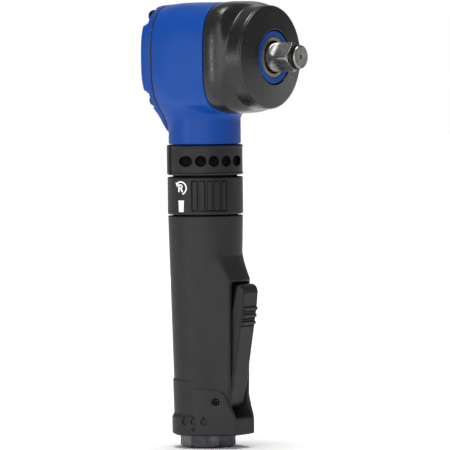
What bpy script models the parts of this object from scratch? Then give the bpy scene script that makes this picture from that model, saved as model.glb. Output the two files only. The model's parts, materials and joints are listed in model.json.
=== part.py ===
"""Right-angle air impact wrench, standing on its air inlet.

Every size is in millimetres and every angle in degrees: the helpers turn them into Blender's metres.
The handle's axis is vertical, and the output axis is horizontal, towards +X. Pieces are placed in two frames:
  handle frame: local Z up the handle's axis, with 0 at the inlet's lower face
  head frame:   local Z along the output axis, with 0 on the handle's axis, and local X pointing down
"""

import math

import bmesh
import bpy
import numpy as np
from mathutils import Matrix, Vector

MM = 0.001
GAP = 0.3  # left between neighbours that touch

# Driving sizes
DRIVE_SQUARE = 12.7  # across the flats of the half-inch square
HEAD_Z = 217.7  # output axis above the inlet's face
DRIVE_END = 66.8  # end of the drive, from the handle's axis
COVER_BACK = -25.6  # outer face of the rear cover
NECK_R = 20.2
COLLAR_R = 21.35
GRIP_TOP_R = 20.9
GRIP_LOW_R = 18.3

# Levels up the handle
BASE_Z = 7.3
BASE_TOP_Z = 17.0
LEVER_TOP_Z = 92.7
GRIP_TOP_Z = 129.5
RING_Z = (130.0, 151.2)
COLLAR_Z = (152.2, 169.1)
NECK_Z = 169.4

# Levels along the output axis
GASKET_X = -15.5
GUARD_X = 21.8
NOSE_X = 46.8

# Throttle
PIVOT = (15.5, 26.0)  # X and Z of the lever's pin
VALVE_Z = 58.0
LEVER_HALF = 7.3
SLOT_HALF = 7.8
SLOT_FLOOR_X = 13.2

# Motor
SLEEVE_R, SLEEVE_BORE_R = 18.1, 16.4
CYLINDER_R, CYLINDER_BORE_R, ECCENTRIC = 14.6, 12.0, 0.9
ROTOR_R, VANES, VANE_THICK = 10.8, 6, 1.6
ROTOR_Z = (105.6, 146.7)

# Bevel gears
MODULE, GEAR_TEETH, PINION_TEETH = 1.6, 20, 12
FACE_WIDTH, FLANK_BACKLASH, PRESSURE = 6.0, 0.15, math.radians(20)

# Impact mechanism
CAGE_X, CAGE_R = (16.0, 41.0), 22.3
PIN_R, PIN_CIRCLE = 3.0, 16.8
SQUARE_TURN = 5.0  # how far the square's corners are turned from vertical about the output axis

HANDLE_X = -(DRIVE_END + COVER_BACK) / 2  # puts the middle of the length at X = 0

PAINT = ("blue_paint", (0.03, 0.13, 0.52), 0.45, 0.0)
NYLON = ("black_nylon", (0.035, 0.035, 0.038), 0.55, 0.0)
RUBBER = ("black_rubber", (0.03, 0.03, 0.03), 0.6, 0.0)
STEEL = ("steel", (0.45, 0.44, 0.42), 0.35, 1.0)
DARK_STEEL = ("dark_steel", (0.12, 0.12, 0.13), 0.45, 1.0)
BRONZE = ("bronze", (0.42, 0.36, 0.28), 0.4, 1.0)
ALUMINIUM = ("aluminium", (0.6, 0.6, 0.6), 0.4, 1.0)
GASKET = ("gasket_paper", (0.06, 0.05, 0.045), 0.8, 0.0)


# ---------------------------------------------------------------- scene and helpers


def start_scene():
    for old in list(bpy.data.objects):
        bpy.data.objects.remove(old)
    made = {}
    for name in ("air_impact_wrench", "cutters"):
        made[name] = bpy.data.collections.new(name)
        bpy.context.scene.collection.children.link(made[name])
    return made["air_impact_wrench"], made["cutters"]


PARTS, CUTTERS = start_scene()


def frame(name, location=(0, 0, 0), parent=None, matrix=None):
    empty = bpy.data.objects.new(name, None)
    PARTS.objects.link(empty)
    turn = matrix or Matrix.Identity(4)
    empty.matrix_local = Matrix.Translation(Vector(location) * MM) @ turn
    empty.parent = parent
    return empty


ALONG_X = Matrix.Rotation(math.radians(90), 4, "Y")  # turns local Z to +X and local X to -Z
HANDLE = frame("handle_frame", (HANDLE_X, 0, 0))
HEAD = frame("head_frame", (0, 0, HEAD_Z), HANDLE, ALONG_X)
THROTTLE = frame("throttle_frame", (0, 0, VALVE_Z), HANDLE, ALONG_X)
APEX = frame("pinion_frame", (0, 0, HEAD_Z), HANDLE, Matrix.Rotation(math.pi, 4, "X"))


def material(spec):
    name, colour, roughness, metallic = spec
    found = bpy.data.materials.get(name)
    if found:
        return found
    made = bpy.data.materials.new(name)
    made.use_nodes = True
    shader = made.node_tree.nodes["Principled BSDF"]
    shader.inputs["Base Color"].default_value = (*colour, 1)
    shader.inputs["Roughness"].default_value = roughness
    shader.inputs["Metallic"].default_value = metallic
    return made


def place(name, mesh, parent, spec):
    """A part if it has a material, and a hidden cutter if it has none."""
    made = bpy.data.objects.new(name, mesh)
    (PARTS if spec else CUTTERS).objects.link(made)
    made.parent = parent
    if spec:
        mesh.materials.clear()
        mesh.materials.append(material(spec))
    else:
        made.hide_render = True
        made.display_type = "WIRE"
    return made


def turned(name, profile, parent, spec=None, steps=24):
    """A ring or a solid turned about local Z, from points of radius and height."""
    points = np.array(profile, float)
    ahead = np.roll(points, -1, axis=0)
    area = (points[:, 0] * ahead[:, 1] - ahead[:, 0] * points[:, 1]).sum()
    if area > 0:
        points = points[::-1]
    count = len(points)
    on_axis = points[:, 0].min() < 1e-6
    if on_axis:
        while points[0, 0] > 1e-6 or points[-1, 0] > 1e-6:
            points = np.roll(points, 1, axis=0)
    edges = [(i, i + 1) for i in range(count - 1)]
    if not on_axis:
        edges.append((count - 1, 0))
    mesh = bpy.data.meshes.new(name)
    mesh.from_pydata([(r * MM, 0, z * MM) for r, z in points], edges, [])
    made = place(name, mesh, parent, spec)
    screw = made.modifiers.new("turn", "SCREW")
    screw.steps = screw.render_steps = steps
    screw.use_merge_vertices = True
    screw.merge_threshold = 1e-6
    return made


def ring(name, r_in, r_out, z_low, z_high, parent, spec=None, steps=24):
    corners = [(r_out, z_high), (r_out, z_low), (r_in, z_low), (r_in, z_high)]
    return turned(name, corners, parent, spec, steps)


def mesh_of(curve_object):
    """The welded mesh of a curve, which is then removed."""
    graph = bpy.context.evaluated_depsgraph_get()
    mesh = bpy.data.meshes.new_from_object(curve_object.evaluated_get(graph))
    bpy.data.objects.remove(curve_object)
    shape = bmesh.new()
    shape.from_mesh(mesh)
    bmesh.ops.remove_doubles(shape, verts=shape.verts, dist=1e-6)
    bmesh.ops.recalc_face_normals(shape, faces=shape.faces)
    shape.to_mesh(mesh)
    shape.free()
    return mesh


def prism(name, outline, z_low, z_high, parent, spec=None):
    """A flat outline with thickness, between two heights."""
    data = bpy.data.curves.new(name, "CURVE")
    data.dimensions = "2D"
    data.fill_mode = "BOTH"
    data.extrude = abs(z_high - z_low) / 2 * MM
    spline = data.splines.new("POLY")
    spline.points.add(len(outline) - 1)
    for point, (x, y) in zip(spline.points, outline):
        point.co = (x * MM, y * MM, 0, 1)
    spline.use_cyclic_u = True
    flat = bpy.data.objects.new(name + "_outline", data)
    CUTTERS.objects.link(flat)
    bpy.context.view_layer.update()
    mesh = mesh_of(flat)
    mesh.transform(Matrix.Translation((0, 0, (z_low + z_high) / 2 * MM)))
    return place(name, mesh, parent, spec)


def rod(name, start, end, radius, parent, spec=None, segments=20):
    """A cylinder between two points."""
    a, b = Vector(start), Vector(end)
    shape = bmesh.new()
    turn = (b - a).to_track_quat("Z", "Y").to_matrix().to_4x4()
    bmesh.ops.create_cone(
        shape,
        cap_ends=True,
        segments=segments,
        radius1=radius * MM,
        radius2=radius * MM,
        depth=(b - a).length * MM,
        matrix=Matrix.Translation((a + b) / 2 * MM) @ turn,
    )
    mesh = bpy.data.meshes.new(name)
    shape.to_mesh(mesh)
    shape.free()
    return place(name, mesh, parent, spec)


def block(name, low, high, parent, spec=None, turn=None):
    """A box between two corners, turned about local Z by some degrees."""
    shape = bmesh.new()
    size = Matrix.Diagonal((*((Vector(high) - Vector(low)) * MM), 1))
    middle = Matrix.Translation((Vector(low) + Vector(high)) / 2 * MM)
    rotation = Matrix.Rotation(math.radians(turn or 0), 4, "Z")
    bmesh.ops.create_cube(shape, size=1, matrix=rotation @ middle @ size)
    mesh = bpy.data.meshes.new(name)
    shape.to_mesh(mesh)
    shape.free()
    return place(name, mesh, parent, spec)


def loft(name, rings, parent, spec=None):
    """A closed skin over rings of equally many points, capped at both ends."""
    count = len(rings[0])
    faces = []
    for k in range(len(rings) - 1):
        low, high = k * count, (k + 1) * count
        for i in range(count):
            j = (i + 1) % count
            faces.append((low + i, low + j, high + j, high + i))
    faces.append(tuple(range(count))[::-1])
    faces.append(tuple(range(count * (len(rings) - 1), count * len(rings))))
    mesh = bpy.data.meshes.new(name)
    mesh.from_pydata([Vector(p) * MM for r in rings for p in r], [], faces)
    shape = bmesh.new()
    shape.from_mesh(mesh)
    bmesh.ops.recalc_face_normals(shape, faces=shape.faces)
    shape.to_mesh(mesh)
    shape.free()
    return place(name, mesh, parent, spec)


def torus(name, radius, minor, z, parent, spec, sections=32, sides=8):
    angles = np.linspace(0, 2 * math.pi, sides, endpoint=False)
    profile = [(radius + minor * math.cos(a), z + minor * math.sin(a)) for a in angles]
    return turned(name, profile, parent, spec, sections)


def combine(target, others, operation):
    for other in others:
        step = target.modifiers.new(f"{operation.lower()}_{other.name}", "BOOLEAN")
        step.operation = operation
        step.object = other
    return target


def cut(target, *cutters):
    return combine(target, cutters, "DIFFERENCE")


def join(target, *others):
    return combine(target, others, "UNION")


def around(count, radius, start=0.0):
    """Points evenly spaced on a circle."""
    angles = [math.radians(start) + 2 * math.pi * k / count for k in range(count)]
    return [(radius * math.cos(a), radius * math.sin(a)) for a in angles]


def polygon(sides, across_flats, start=0.0):
    return around(sides, across_flats / 2 / math.cos(math.pi / sides), start)


def squircle(half_x, half_y, z, count=40, power=3.5):
    """A rounded-square ring of points, |x/a|^n + |y/b|^n = 1, at a height."""
    points = []
    for k in range(count):
        angle = 2 * math.pi * k / count
        c, s = math.cos(angle), math.sin(angle)
        reach = (abs(c / half_x) ** power + abs(s / half_y) ** power) ** (-1 / power)
        points.append((reach * c, reach * s, z))
    return points


def splined(teeth, root_radius, tip_radius):
    """The outline of a splined shaft."""
    points = []
    for k in range(teeth):
        tooth = ((-0.28, root_radius), (-0.2, tip_radius), (0.2, tip_radius), (0.28, root_radius))
        for share, radius in tooth:
            angle = 2 * math.pi * (k + share) / teeth
            points.append((radius * math.cos(angle), radius * math.sin(angle)))
    return points


def copies(name, pattern, original, parent, height=0.0, flip=False):
    """One object per place, sharing the mesh of a finished original, which is removed."""
    bpy.context.view_layer.update()
    graph = bpy.context.evaluated_depsgraph_get()
    mesh = bpy.data.meshes.new_from_object(original.evaluated_get(graph))
    spec_material = original.data.materials[0]
    bpy.data.objects.remove(original)
    for number, (x, y) in enumerate(pattern, 1):
        made = bpy.data.objects.new(f"{name}_{number}", mesh)
        PARTS.objects.link(made)
        made.parent = parent
        made.location = Vector((x, y, height)) * MM
        if flip:
            made.rotation_euler = (math.pi, 0, 0)
    mesh.materials.clear()
    mesh.materials.append(spec_material)


# ---------------------------------------------------------------- handle


def grip_section(z, radius, front_x, half_width, corner=2.5, count=36):
    """The convex outline around the grip's circle and the two rounded corners of its front face."""
    normals = np.linspace(0, 2 * math.pi, 720, endpoint=False)
    reach = np.full(720, radius)
    for side in (-1, 1):
        centre_x, centre_y = front_x - corner, side * (half_width - corner)
        support = centre_x * np.cos(normals) + centre_y * np.sin(normals) + corner
        reach = np.maximum(reach, support)
    points = []
    for k in range(count):
        angle = 2 * math.pi * (k + 0.5) / count
        facing = np.cos(normals - angle)
        ahead = facing > 0.05
        r = (reach[ahead] / facing[ahead]).min()
        points.append((r * math.cos(angle), r * math.sin(angle), z))
    return points


def grip_radius(z):
    share = (z - 20.0) / (GRIP_TOP_Z - 20.0)
    return GRIP_LOW_R + (GRIP_TOP_R - GRIP_LOW_R) * share


def make_handle():
    front_face = 9.0
    rings = [
        grip_section(BASE_Z, 19.4, 24.7, front_face),
        grip_section(BASE_Z + 0.7, 20.0, 25.3, front_face),
        grip_section(BASE_TOP_Z, 20.0, 25.3, front_face),
        grip_section(20.0, grip_radius(20), 24.2, front_face),
        grip_section(31.5, grip_radius(31.5), 20.6, front_face),
        grip_section(LEVER_TOP_Z, grip_radius(LEVER_TOP_Z), 22.0, front_face),
    ]
    for z, front_x in ((93.0, 24.7), (95.5, 24.5), (97.2, 23.7), (99.8, 22.5), (103.0, 21.2), (108.0, 19.5)):
        rings.append(grip_section(z, grip_radius(z), front_x, 8.4))
    rings.append(grip_section(GRIP_TOP_Z - 0.7, GRIP_TOP_R, 0, 5))
    rings.append(grip_section(GRIP_TOP_Z, GRIP_TOP_R - 0.6, 0, 5))
    handle = loft("handle_housing", rings, HANDLE, NYLON)
    cut(
        handle,
        block("lever_slot", (SLOT_FLOOR_X, -SLOT_HALF, 38), (40, SLOT_HALF, LEVER_TOP_Z), HANDLE),
        block("lever_foot_slot", (10.6, -SLOT_HALF, BASE_TOP_Z - 0.2), (40, SLOT_HALF, 38.5), HANDLE),
        rod("motor_bore", (0, 0, 95.2), (0, 0, 140), SLEEVE_R + GAP, HANDLE, segments=32),
        rod("inlet_thread_bore", (0, 0, 0), (0, 0, 24.5), 9.5, HANDLE, segments=32),
        rod("pin_hole", (PIVOT[0], -25, PIVOT[1]), (PIVOT[0], 25, PIVOT[1]), 1.95, HANDLE, segments=16),
        rod("throttle_bore", (-10, 0, VALVE_Z), (20, 0, VALVE_Z), 6.5, HANDLE, segments=24),
        rod("inlet_passage", (-5, 0, 20), (-5, 0, VALVE_Z), 4.2, HANDLE, segments=16),
        rod("motor_passage", (7, 0, VALVE_Z), (7, 0, 100), 2.8, HANDLE, segments=12),
    )


def make_inlet():
    hexagon = polygon(6, 27.0, 30)
    bushing = prism("inlet_bushing", hexagon, 0, BASE_Z - GAP, HANDLE, DARK_STEEL)
    spigot = rod("inlet_spigot", (0, 0, 3), (0, 0, 22), 9.2, HANDLE, segments=32)
    join(bushing, spigot)
    bevel = [(20, -3), (20, 8), (15.7, 8), (15.7, 1.2), (14.3, -0.2), (14.3, -3)]
    cut(
        bushing,
        turned("inlet_chamfer", bevel, HANDLE, steps=48),
        rod("inlet_thread", (0, 0, -5), (0, 0, 12.01), 6.6, HANDLE, segments=32),
        rod("screen_pocket", (0, 0, 12), (0, 0, 30), 7.9, HANDLE, segments=32),
    )
    screen = rod("inlet_screen", (0, 0, 12.3), (0, 0, 13.3), 7.5, HANDLE, STEEL, segments=32)
    openings = [(0, 0)] + around(6, 4.6)
    for number, (x, y) in enumerate(openings):
        cut(screen, rod(f"screen_hole_{number}", (x, y, 10), (x, y, 16), 1.5, HANDLE, segments=8))
    torus("inlet_seal", 8.3, 0.8, 23.3, HANDLE, RUBBER, sections=24, sides=6)


def lever_profile():
    """X and Z around the lever's side, from its foot up the outer face and down the inner one."""
    px, pz = PIVOT
    foot = []
    for angle in (-130, -100, -70, -40, -12):
        foot.append((px + 4.6 * math.cos(math.radians(angle)), pz + 4.9 * math.sin(math.radians(angle))))
    outer = [(20.6, 30.0), (22.3, 34.5), (26.4, 58.0), (30.0, 79.0), (30.8, 87.5)]
    top = [(30.8, 89.2), (30.0, 90.7), (28.6, 91.4), (26.2, 91.2), (25.4, 90.2), (25.0, 88.0)]
    inner = [(21.9, 76.0), (17.4, 60.5), (17.4, 55.5), (16.2, 45.0), (14.6, 35.0), (12.0, 30.0)]
    return foot + outer + top + inner


def make_throttle():
    upright = Matrix.Rotation(math.radians(90), 4, "X")  # turns the outline's Y to Z
    side = frame("lever_frame", (0, 0, 0), HANDLE, upright)
    lever = prism("throttle_lever", lever_profile(), -LEVER_HALF, LEVER_HALF, side, NYLON)
    px, pz = PIVOT
    cut(lever, rod("lever_pin_hole", (px, pz, -20), (px, pz, 20), 1.85, side, segments=16))
    edge = lever.modifiers.new("rounded_edges", "BEVEL")
    edge.width = 0.9 * MM
    edge.segments = 1
    edge.limit_method = "ANGLE"
    edge.angle_limit = math.radians(50)
    lever.modifiers.move(1, 0)
    rod("lever_pin", (px, -13.6, pz), (px, 13.6, pz), 1.5, HANDLE, STEEL, segments=16)

    bushing = [(6.2, 3.5), (6.2, 13.2), (1.9, 13.2), (1.9, 10.0), (4.2, 10.0), (4.2, 3.5)]
    made = turned("throttle_bushing", bushing, THROTTLE, BRONZE, steps=24)
    cut(made, rod("bushing_port", (7, 0, VALVE_Z), (7, 0, 80), 2.6, HANDLE, segments=12))
    stem = [(0, 16.9), (1.2, 16.9), (1.5, 16.5), (1.5, 3.2)]
    poppet = [(5.3, 3.2), (5.3, 1.0), (2.4, 1.0), (2.4, -1.5), (0, -1.5)]
    turned("throttle_valve", stem + poppet, THROTTLE, STEEL, steps=24)

    data = bpy.data.curves.new("throttle_spring", "CURVE")
    data.dimensions = "3D"
    data.bevel_depth = 0.4 * MM
    data.bevel_resolution = 1
    data.use_fill_caps = True
    turns, per_turn, length = 4, 8, 9.5
    total = int(turns * per_turn)
    spline = data.splines.new("POLY")
    spline.points.add(total)
    for k, point in enumerate(spline.points):
        angle = 2 * math.pi * k / per_turn
        z = -9.2 + length * k / total
        point.co = (3.6 * math.cos(angle) * MM, 3.6 * math.sin(angle) * MM, z * MM, 1)
    spring = bpy.data.objects.new("throttle_spring", data)
    PARTS.objects.link(spring)
    spring.parent = THROTTLE
    data.materials.append(material(STEEL))


# ---------------------------------------------------------------- reversing and exhaust rings


def sector(r_in, r_out, start, end, steps=8):
    angles = [math.radians(start + (end - start) * k / steps) for k in range(steps + 1)]
    outer = [(r_out * math.cos(a), r_out * math.sin(a)) for a in angles]
    inner = [(r_in * math.cos(a), r_in * math.sin(a)) for a in reversed(angles)]
    return outer + inner


def make_rings():
    low, high = RING_Z
    r = COLLAR_R - 0.25
    profile = [(r - 0.7, high), (r, high - 0.6), (r, low + 0.6), (r - 0.7, low), (18.45, low), (18.45, high)]
    selector = turned("selector_ring", profile, HANDLE, NYLON, steps=36)
    key_z = 141.0
    cut(selector, rod("key_hole", (-16, 0, key_z), (-30, 0, key_z), 1.8, HANDLE, segments=12))
    ribs_at, rib_pitch = -47.0, 11.3
    for k in range(5):
        turn = ribs_at + (k - 2) * rib_pitch
        groove = block(f"rib_groove_{k}", (r - 0.5, -0.6, low + 2), (r + 2, 0.6, high - 2), HANDLE, turn=turn)
        cut(selector, groove)
    rod("selector_key", (-15.2, 0, key_z), (-20.4, 0, key_z), 1.5, HANDLE, STEEL, segments=12)
    valve = ring("reverse_valve", 14.9, 16.1, 131.0, 146.8, HANDLE, BRONZE)
    cut(
        valve,
        rod("valve_key_hole", (-14, 0, key_z), (-18, 0, key_z), 1.8, HANDLE, segments=12),
        rod("valve_ports", (0, -20, 139), (0, 20, 139), 3.2, HANDLE, segments=12),
    )

    low, high = COLLAR_Z
    r = COLLAR_R
    profile = [(r - 0.6, high), (r, high - 0.5), (r, low + 0.8), (r - 0.9, low), (18.45, low)]
    profile += [(18.45, 156.4), (19.5, 157.2), (19.5, 165.0), (18.45, 166.0), (18.45, high)]
    collar = turned("exhaust_collar", profile, HANDLE, NYLON, steps=36)
    facing = math.radians(-42.3)
    ahead = Vector((math.cos(facing), math.sin(facing), 0))
    across = Vector((-ahead.y, ahead.x, 0))
    for k in range(-2, 3):
        start = across * 7.28 * k + Vector((0, 0, 160.2))
        hole = rod(f"exhaust_hole_{k}", start + ahead * 12, start + ahead * 25, 2.9, HANDLE, segments=12)
        cut(collar, hole)

    profile = [(SLEEVE_R, 95.6), (SLEEVE_R, 168.9), (14.2, 168.9), (14.2, 175.6), (12.2, 175.6)]
    profile += [(12.2, 159.0), (SLEEVE_BORE_R, 159.0), (SLEEVE_BORE_R, 95.6)]
    sleeve = turned("motor_sleeve", profile, HANDLE, ALUMINIUM)
    for k, angle in enumerate((30, 90, 150)):
        way = Vector((math.cos(math.radians(angle)), math.sin(math.radians(angle)), 0)) * 25
        middle = Vector((0, 0, 162.8))
        cut(sleeve, rod(f"exhaust_window_{k}", middle - way, middle + way, 2.9, HANDLE, segments=12))
    cut(sleeve, prism("selector_slot", sector(14, 20, 172, 248), key_z - 1.9, key_z + 1.9, HANDLE))
    cut(sleeve, rod("air_ports", (0, -20, 137), (0, 20, 137), 2.0, HANDLE, segments=12))


# ---------------------------------------------------------------- motor


def make_motor():
    cylinder = rod("motor_cylinder", (0, 0, 105.3), (0, 0, 147.0), CYLINDER_R, HANDLE, STEEL, segments=28)
    bore_ends = (ECCENTRIC, 0, 90), (ECCENTRIC, 0, 160)
    cut(cylinder, rod("cylinder_bore", *bore_ends, CYLINDER_BORE_R, HANDLE, segments=32))
    for k in range(4):
        z = 112 + 8 * k
        cut(cylinder, rod(f"cylinder_port_{k}", (-10, 0, z), (-20, 0, z), 1.8, HANDLE, segments=10))

    rear = [(16.1, 105.0), (16.1, 95.9), (11.3, 95.9), (11.3, 102.8), (5.0, 102.8), (5.0, 105.0)]
    plate = turned("rear_end_plate", rear, HANDLE, ALUMINIUM)
    for side in (-1, 1):
        port_y = side * 13.6
        cut(plate, rod(f"plate_port_{side}", (0.4, port_y, 90), (0.4, port_y, 110), 1.3, HANDLE, segments=8))
    front = [(16.1, 147.3), (16.1, 158.6), (13.3, 158.6), (13.3, 150.0), (5.5, 150.0), (5.5, 147.3)]
    turned("front_end_plate", front, HANDLE, ALUMINIUM)
    bearing("rear_rotor_bearing", 4.3, 11.0, 95.6, 102.5, HANDLE)
    bearing("front_rotor_bearing", 5.3, 13.0, 150.3, 158.3, HANDLE)

    low, high = ROTOR_Z
    profile = [(0, 96.2), (4.0, 96.2), (4.0, 104), (4.6, 104), (4.6, low), (ROTOR_R, low), (ROTOR_R, high)]
    profile += [(4.6, high), (4.6, 148), (5.0, 148), (5.0, 172.2), (0, 172.2)]
    rotor = turned("rotor", profile, HANDLE, STEEL, steps=24)
    join(rotor, prism("rotor_spline", splined(6, 3.2, 4.0), 171.5, 181.5, HANDLE))
    slot_half = VANE_THICK / 2 + 0.15
    for k in range(VANES):
        corners = (4.9, -slot_half, low - 1), (14, slot_half, high + 1)
        slot = block(f"vane_slot_{k}", *corners, HANDLE, turn=60 * k)
        cut(rotor, slot)
    for k in range(VANES):
        z_low, z_high = ROTOR_Z[0] + 0.1, ROTOR_Z[1] - 0.1
        low, high = (5.15, -VANE_THICK / 2, z_low), (10.6, VANE_THICK / 2, z_high)
        block(f"vane_{k + 1}", low, high, HANDLE, NYLON, turn=360 / VANES * k)


def bearing(name, r_in, r_out, z_low, z_high, parent, steps=18):
    """A shielded ball bearing as one ring, with the groove between its races on one side."""
    wall = (r_out - r_in) * 0.26
    inner, outer, dip = r_in + wall, r_out - wall, z_high - 0.5
    profile = [(r_out, z_high), (r_out, z_low), (r_in, z_low), (r_in, z_high)]
    profile += [(inner, z_high), (inner, dip), (outer, dip), (outer, z_high)]
    return turned(name, profile, parent, STEEL, steps)


# ---------------------------------------------------------------- bevel gears


def involute(angle):
    return math.tan(angle) - angle


def bevel_ring(teeth, mate, scale=1.0, phase=0.0):
    """Tooth outlines on the back cone of a straight bevel gear whose cone apex is at the origin, towards +Z.

    The back cone is unrolled into a spur gear of teeth / cos(cone angle), whose involute flanks are used.
    """
    cone = math.atan(teeth / mate)
    pitch_r = MODULE * teeth / 2
    back_r = pitch_r / math.cos(cone)
    back_apex = pitch_r / math.tan(cone) + pitch_r * math.tan(cone)
    base_r = back_r * math.cos(PRESSURE)
    half_at_pitch = (math.pi * MODULE / 4 - FLANK_BACKLASH) / back_r

    def half_angle(rho):
        flank = math.acos(min(1.0, base_r / rho))
        return half_at_pitch + involute(PRESSURE) - involute(flank)

    root, tip = back_r - 1.1 * MODULE, back_r + 0.8 * MODULE
    flanks = [(root, half_angle(max(root, base_r))), (tip, half_angle(tip))]
    points = []
    for k in range(teeth):
        middle = 2 * math.pi * (k + phase) / teeth
        for sign, side in ((-1, flanks), (1, flanks[::-1])):
            for rho, half in side:
                angle = middle + sign * half / math.cos(cone)
                radial = rho * math.cos(cone) * scale
                axial = (back_apex - rho * math.sin(cone)) * scale
                points.append((radial * math.cos(angle), radial * math.sin(angle), axial))
    return points


def circle_like(ring_points, radius, z):
    """A circle with its points at the same angles as another ring's."""
    angles = [math.atan2(y, x) for x, y, _ in ring_points]
    return [(radius * math.cos(a), radius * math.sin(a), z) for a in angles]


def make_gears():
    cone_length = MODULE / 2 * math.hypot(GEAR_TEETH, PINION_TEETH)
    inner = 1 - FACE_WIDTH / cone_length
    small = bevel_ring(PINION_TEETH, GEAR_TEETH, inner)
    large = bevel_ring(PINION_TEETH, GEAR_TEETH)
    rings = [circle_like(small, 4.4, 10.7), small, large]
    rings += [circle_like(large, r, z) for r, z in ((8.4, 18.7), (6.0, 19.0), (6.0, 44.0))]
    pinion = loft("bevel_pinion", rings, APEX, STEEL)
    cut(pinion, prism("pinion_socket", splined(6, 3.5, 4.3), HEAD_Z - 182.0, 50, APEX))

    small = bevel_ring(GEAR_TEETH, PINION_TEETH, inner, phase=0.5)
    large = bevel_ring(GEAR_TEETH, PINION_TEETH, phase=0.5)
    rings = [circle_like(small, 8.0, 7.0), small, large, circle_like(large, 15.4, 13.6)]
    gear = loft("bevel_gear", rings, HEAD, STEEL)
    cut(gear, prism("gear_bore", splined(6, 4.8, 5.6), 0, 20, HEAD))

    shaft = [(0, -22.7), (3.7, -22.7), (3.7, -15.3), (4.3, -15.3), (4.3, 19.8), (0, 19.8)]
    axle = turned("gear_shaft", shaft, HEAD, STEEL, steps=16)
    join(axle, prism("gear_shaft_spline", splined(6, 4.4, 5.2), 5.5, 19.8, HEAD))

    bearing("upper_pinion_bearing", 6.3, 14.0, 19.6, 26.6, APEX)
    ring("pinion_spacer", 6.3, 8.0, 26.9, 32.2, APEX, STEEL, steps=24)
    bearing("lower_pinion_bearing", 6.3, 14.0, 32.5, 40.5, APEX)
    bearing("rear_shaft_bearing", 4.0, 11.0, -22.9, -16.0, HEAD)


# ---------------------------------------------------------------- impact mechanism


def make_impact():
    low, high = CAGE_X
    profile = [(0, 20.2), (21.2, 20.2), (21.2, 37.4), (11.8, 37.4), (11.8, high)]
    profile += [(CAGE_R, high), (CAGE_R, low), (0, low)]
    cage = turned("hammer_cage", profile, HEAD, STEEL)
    cut(cage, prism("cage_bore", splined(6, 4.8, 5.6), 10, 25, HEAD))
    cut(cage, block("cage_window", (-30, -9, 20.2), (30, 9, 37.4), HEAD))
    for number, side in ((1, 1), (2, -1)):
        pin_y = side * PIN_CIRCLE
        hole_ends = (0, pin_y, 10), (0, pin_y, 50)
        cut(cage, rod(f"cage_pin_hole_{number}", *hole_ends, PIN_R + GAP, HEAD, segments=16))
        pin_ends = (0, pin_y, low + 0.4), (0, pin_y, high - 0.4)
        rod(f"hammer_pin_{number}", *pin_ends, PIN_R, HEAD, DARK_STEEL, segments=16)
        z_low = 20.5 + 8.5 * (number - 1)
        hammer = ring(f"hammer_{number}", 11.9, 20.8, z_low, z_low + 8.1, HEAD, DARK_STEEL)
        notch_y = -pin_y - side
        cut(
            hammer,
            rod(f"hammer_eye_{number}", (0, pin_y, 10), (0, pin_y, 50), PIN_R + GAP, HEAD, segments=16),
            rod(f"hammer_notch_{number}", (0, notch_y, 10), (0, notch_y, 50), 4.9, HEAD, segments=16),
        )

    core = [(0, 20.8), (7.0, 20.8), (7.0, 37.8), (11.5, 37.8), (11.5, 41.2)]
    core += [(8.5, 41.2), (8.5, 49.5), (0, 49.5)]
    tip = [(0, 62.0), (4.2, 62.0), (4.2, 65.3), (6.2, 65.3), (6.5, 65.6), (6.5, 66.4)]
    tip += [(6.1, DRIVE_END), (0.9, DRIVE_END), (0, 65.6)]
    anvil = turned("anvil", core, HEAD, STEEL)
    corner_r, half = 8.25, DRIVE_SQUARE / 2
    spread = math.degrees(math.pi / 4 - math.acos(half / corner_r))
    outline = []
    for k in range(4):
        for angle in (-spread, 0, spread):
            turn = math.radians(SQUARE_TURN + 90 * k + angle)
            outline.append((corner_r * math.cos(turn), corner_r * math.sin(turn)))
    square = prism("drive_square", outline, 49.0, 62.3, HEAD)
    lobes = [
        block(
            f"anvil_lobe_{k}",
            (5, -4, 20.8 + 8.6 * k),
            (10.8, 4, 28.4 + 8.5 * k),
            HEAD,
            turn=SQUARE_TURN + 180 * k,
        )
        for k in (0, 1)
    ]
    join(anvil, square, turned("drive_tip", tip, HEAD, steps=24), *lobes)
    retainer = prism("socket_retainer", sector(6.15, 6.95, 20, 340, steps=20), 62.95, 64.65, HEAD, DARK_STEEL)
    retainer.rotation_euler = (0, 0, math.radians(SQUARE_TURN + 90))
    torus("retainer_o_ring", 5.15, 0.65, 63.8, HEAD, RUBBER, sections=20, sides=6)


# ---------------------------------------------------------------- head castings


def rear_outline(inset=0.0):
    """The rear joint's outline: a rounded square with a tail that runs down the neck. Local X is down."""
    head = squircle(29.8 - inset, 28.5 - inset, 0, count=40)
    upper = [(x, y) for x, y, _ in head if x < 20.5]
    upper.sort(key=lambda p: math.atan2(p[1], p[0]) % (2 * math.pi))
    tail = [(43.6, 8.0), (42.0, 11.6), (39.0, 13.2), (33.2, 14.4), (29.5, 17.1), (25.8, 20.5), (21.5, 23.8)]
    right = [(x - inset / 2, y - inset) for x, y in tail]
    left = [(x, -y) for x, y in reversed(right)]
    return right + upper + left


COVER_SCREWS = [(23.4, 16.0), (23.4, -16.0), (-23.4, 16.0), (-23.4, -16.0)]
CASE_SCREWS = [(20.9, 20.9), (20.9, -20.9), (-20.9, 20.9), (-20.9, -20.9)]


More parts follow.
